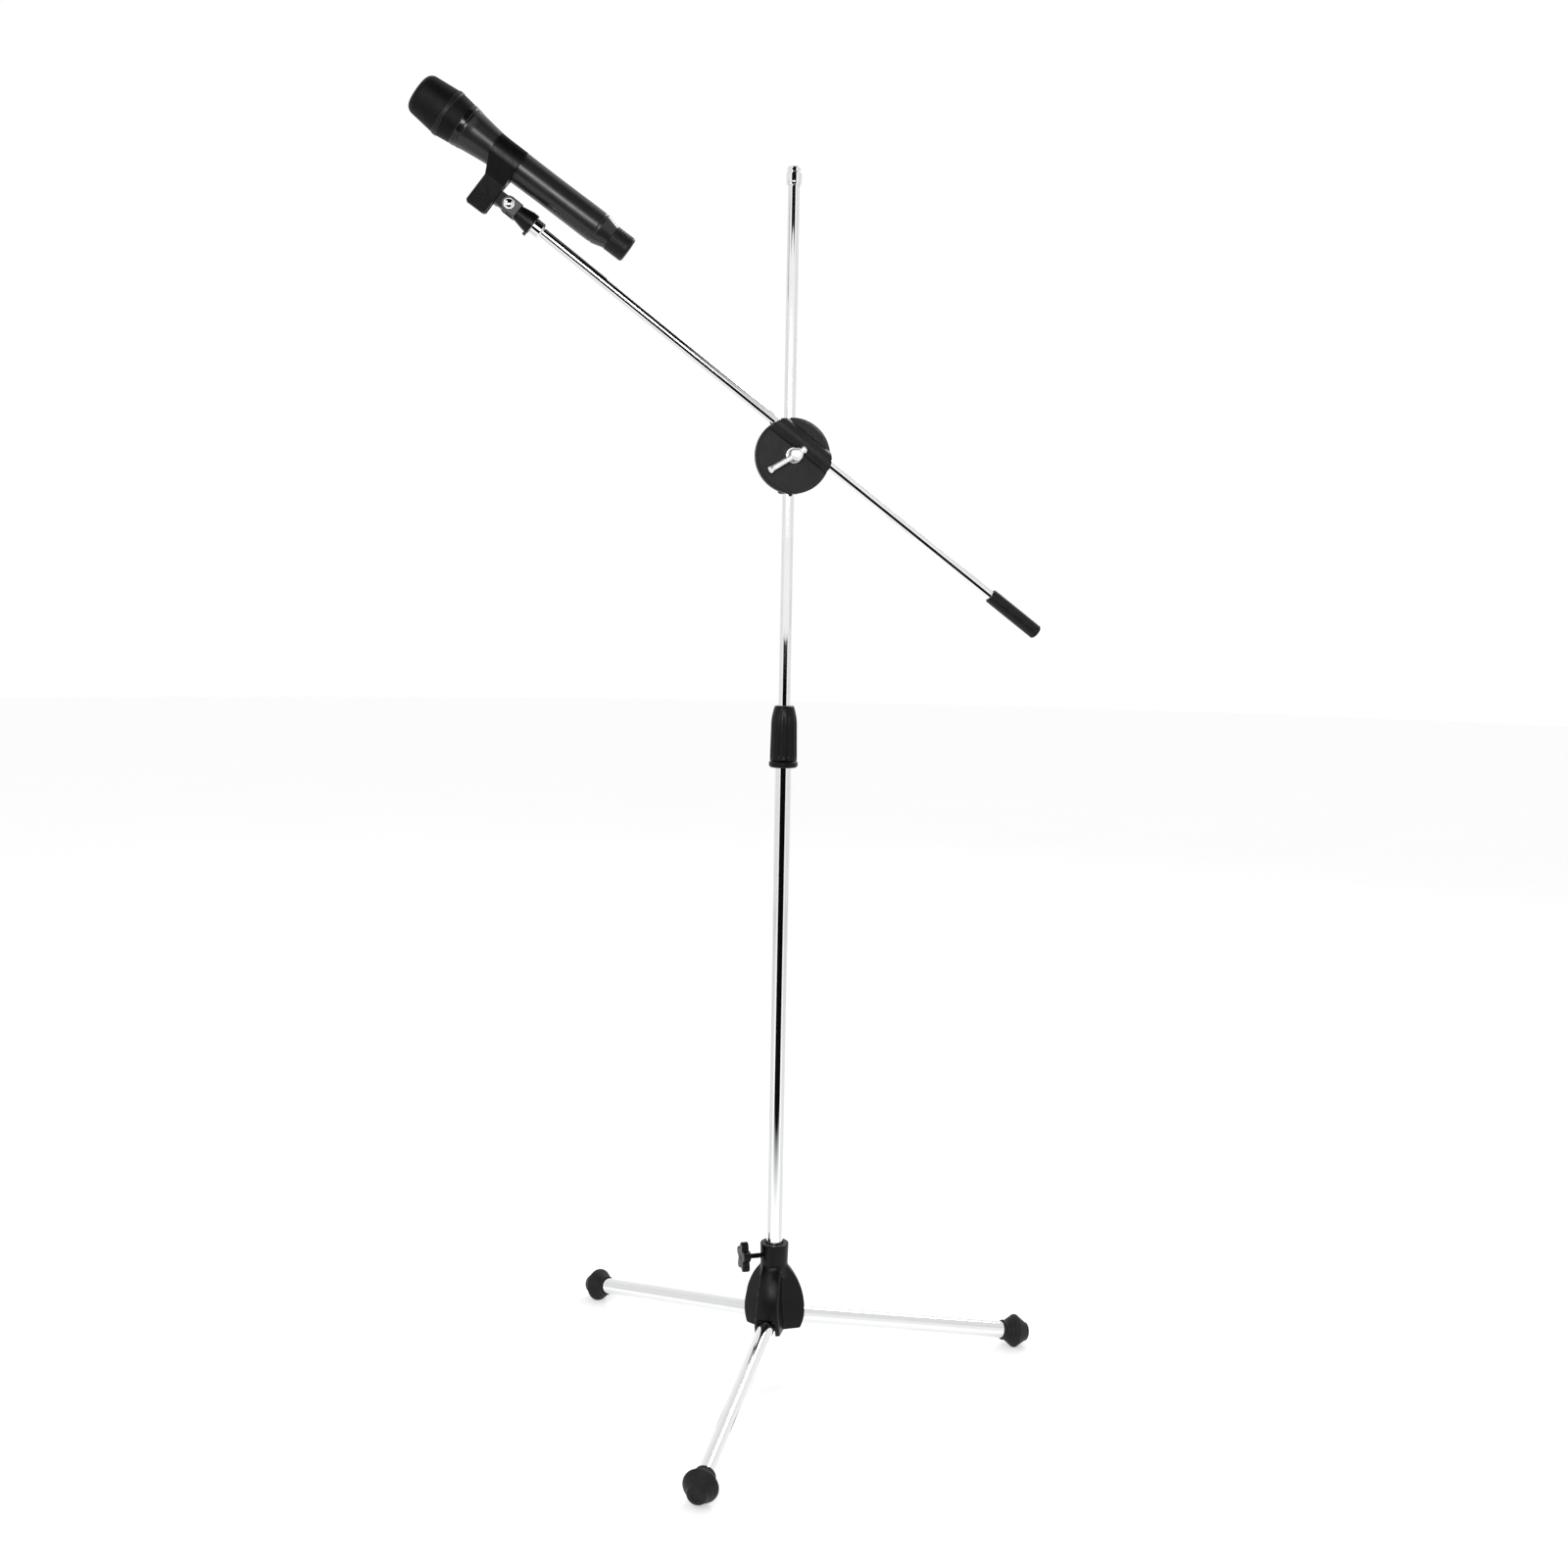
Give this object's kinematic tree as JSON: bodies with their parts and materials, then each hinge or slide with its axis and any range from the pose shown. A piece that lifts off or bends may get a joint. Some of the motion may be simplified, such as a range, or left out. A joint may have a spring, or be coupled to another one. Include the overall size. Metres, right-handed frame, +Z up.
{
  "type": "boom microphone stand",
  "caption": "Folding tripod microphone stand with a sliding pole, a round tilt clamp, a sliding boom and a spring clip that holds a handheld microphone.",
  "frame": {"origin": "on the pole's axis at floor level, between the three feet", "axes": "+Z up along the pole; +X towards the boom's tail grip, with the boom in the XZ plane; -Y towards the clamp's T-handle"},
  "size_m": [0.6389, 0.4779, 1.2361],
  "materials": {
    "black_plastic": "moulded, fine texture",
    "grip_rubber": "smooth dipped grip",
    "soft_plastic": "moulded nylon",
    "steel": "zinc plated",
    "chrome": "polished",
    "brass": "turned",
    "foot_rubber": "moulded",
    "pad_rubber": "soft",
    "grille_paint": "matt powder coat on woven wire",
    "foam": "open-cell foam",
    "capsule_metal": "satin",
    "mic_gloss": "gloss",
    "mic_paint": "satin dark grey paint on an aluminium tube",
    "mic_plastic": "moulded",
    "board": "solder resist",
    "battery": "satin"
  },
  "bodies": {
    "hub": {"hub_shell": "black_plastic", "leg_hinge_block": "soft_plastic", "leg_pivot_pins": "steel", "thumb_insert": "brass"},
    "right_leg": {"right_leg_tube": "chrome", "right_leg_end": "soft_plastic", "right_foot": "foot_rubber"},
    "left_leg": {"left_leg_tube": "chrome", "left_leg_end": "soft_plastic", "left_foot": "foot_rubber"},
    "front_leg": {"front_leg_tube": "chrome", "front_leg_end": "soft_plastic", "front_foot": "foot_rubber"},
    "thumb_screw": {"thumb_screw": "chrome", "thumb_knob": "black_plastic"},
    "lower_pole": {"lower_tube": "chrome", "lower_plug": "soft_plastic", "clutch_base": "black_plastic", "clutch_collet": "soft_plastic"},
    "clutch_nut": {"clutch_sleeve": "black_plastic"},
    "upper_pole": {"upper_tube": "chrome", "upper_bush": "soft_plastic", "pole_stud": "chrome"},
    "clamp_liner": {"pole_liner": "soft_plastic"},
    "rear_clamp": {"rear_clamp": "black_plastic", "clamp_insert": "brass", "friction_washer": "soft_plastic"},
    "boom_head": {"front_disc": "black_plastic"},
    "clamp_screw": {"clamp_bolt": "chrome", "clamp_washer": "steel"},
    "t_bar": {"t_bar": "chrome"},
    "boom": {"boom_tube": "chrome", "boom_grip": "grip_rubber", "boom_plug": "soft_plastic", "boom_stud": "chrome"},
    "clip_base": {"clip_base": "black_plastic", "swivel_bolt": "chrome", "swivel_washer": "steel", "swivel_nut": "steel"},
    "clip_body": {"clip_fixed_jaw": "black_plastic", "fixed_jaw_pad": "pad_rubber", "clip_hinge_pin": "steel", "clip_spring": "steel"},
    "moving_jaw": {"clip_moving_jaw": "black_plastic", "moving_jaw_pad": "pad_rubber"},
    "microphone": {"mic_grille": "grille_paint", "mic_grille_ring": "grille_paint", "mic_lower_grille": "grille_paint", "mic_foam": "foam", "mic_capsule": "capsule_metal", "capsule_mount": "pad_rubber", "mic_collar": "mic_gloss", "mic_body": "mic_paint", "mic_tail_ring": "mic_paint", "mic_tail_cap": "mic_plastic", "mic_board": "board", "mic_battery": "battery"}
  },
  "joints": [
    {"name": "right_leg_fold", "type": "hinge", "parent": "hub", "child": "right_leg", "pos_m": [0.0189, 0.00199, 0.05779], "axis": [-0.1045, 0.9945, 0], "range_deg": [0, 80]},
    {"name": "left_leg_fold", "type": "hinge", "parent": "hub", "child": "left_leg", "pos_m": [-0.01117, 0.01537, 0.05779], "axis": [-0.809, -0.5878, 0], "range_deg": [0, 80]},
    {"name": "front_leg_fold", "type": "hinge", "parent": "hub", "child": "front_leg", "pos_m": [-0.00773, -0.01736, 0.05779], "axis": [0.9135, -0.4067, 0], "range_deg": [0, 80]},
    {"name": "thumb_screw_turn", "type": "hinge", "parent": "hub", "child": "thumb_screw", "pos_m": [-0.01989, -0.00209, 0.1186], "axis": [-0.9945, -0.1045, 0], "range_deg": [0, 360]},
    {"name": "lower_pole_lift", "type": "slide", "parent": "hub", "child": "lower_pole", "axis": [0, 0, 1], "range_m": [0, 0.05]},
    {"name": "clutch_twist", "type": "hinge", "parent": "lower_pole", "child": "clutch_nut", "pos_m": [0, 0, 0.63], "axis": [0, 0, 1], "range_deg": [0, 180]},
    {"name": "height_slide", "type": "slide", "parent": "lower_pole", "child": "upper_pole", "axis": [0, 0, 1], "range_m": [-0.12, 0.04]},
    {"name": "clamp_slide", "type": "slide", "parent": "upper_pole", "child": "clamp_liner", "axis": [0, 0, 1], "range_m": [-0.07, 0.2]},
    {"name": "clamp_yaw", "type": "hinge", "parent": "clamp_liner", "child": "rear_clamp", "pos_m": [0, 0, 0.9003], "axis": [0, 0, 1], "range_deg": [-180, 180]},
    {"name": "boom_tilt", "type": "hinge", "parent": "rear_clamp", "child": "boom_head", "pos_m": [0, -0.02, 0.9003], "axis": [0, 1, 0], "range_deg": [-80, 15]},
    {"name": "clamp_screw_turn", "type": "hinge", "parent": "boom_head", "child": "clamp_screw", "pos_m": [0, -0.03, 0.9003], "axis": [0, -1, 0], "range_deg": [-180, 180]},
    {"name": "t_bar_slide", "type": "slide", "parent": "clamp_screw", "child": "t_bar", "axis": [0.848, 0, 0.5299], "range_m": [0, 0.0195]},
    {"name": "boom_slide", "type": "slide", "parent": "boom_head", "child": "boom", "axis": [-0.8018, 0, 0.5976], "range_m": [-0.05, 0.15]},
    {"name": "clip_turn", "type": "hinge", "parent": "boom", "child": "clip_base", "pos_m": [-0.27388, -0.02, 1.12353], "axis": [0.8018, 0, -0.5976], "range_deg": [-90, 90]},
    {"name": "clip_swivel", "type": "hinge", "parent": "clip_base", "child": "clip_body", "pos_m": [-0.27388, -0.02, 1.12353], "axis": [0, 1, 0], "range_deg": [-30, 5]},
    {"name": "jaw_squeeze", "type": "hinge", "parent": "clip_body", "child": "moving_jaw", "pos_m": [-0.26876, -0.02, 1.13093], "axis": [0.8221, 0, -0.5693], "range_deg": [0, 8], "stiffness_Nm_per_rad": 0.2, "springref_deg": -17.19},
    {"name": "microphone_slide", "type": "slide", "parent": "clip_body", "child": "microphone", "axis": [-0.8221, 0, 0.5693], "range_m": [0, 0.1]}
  ]
}
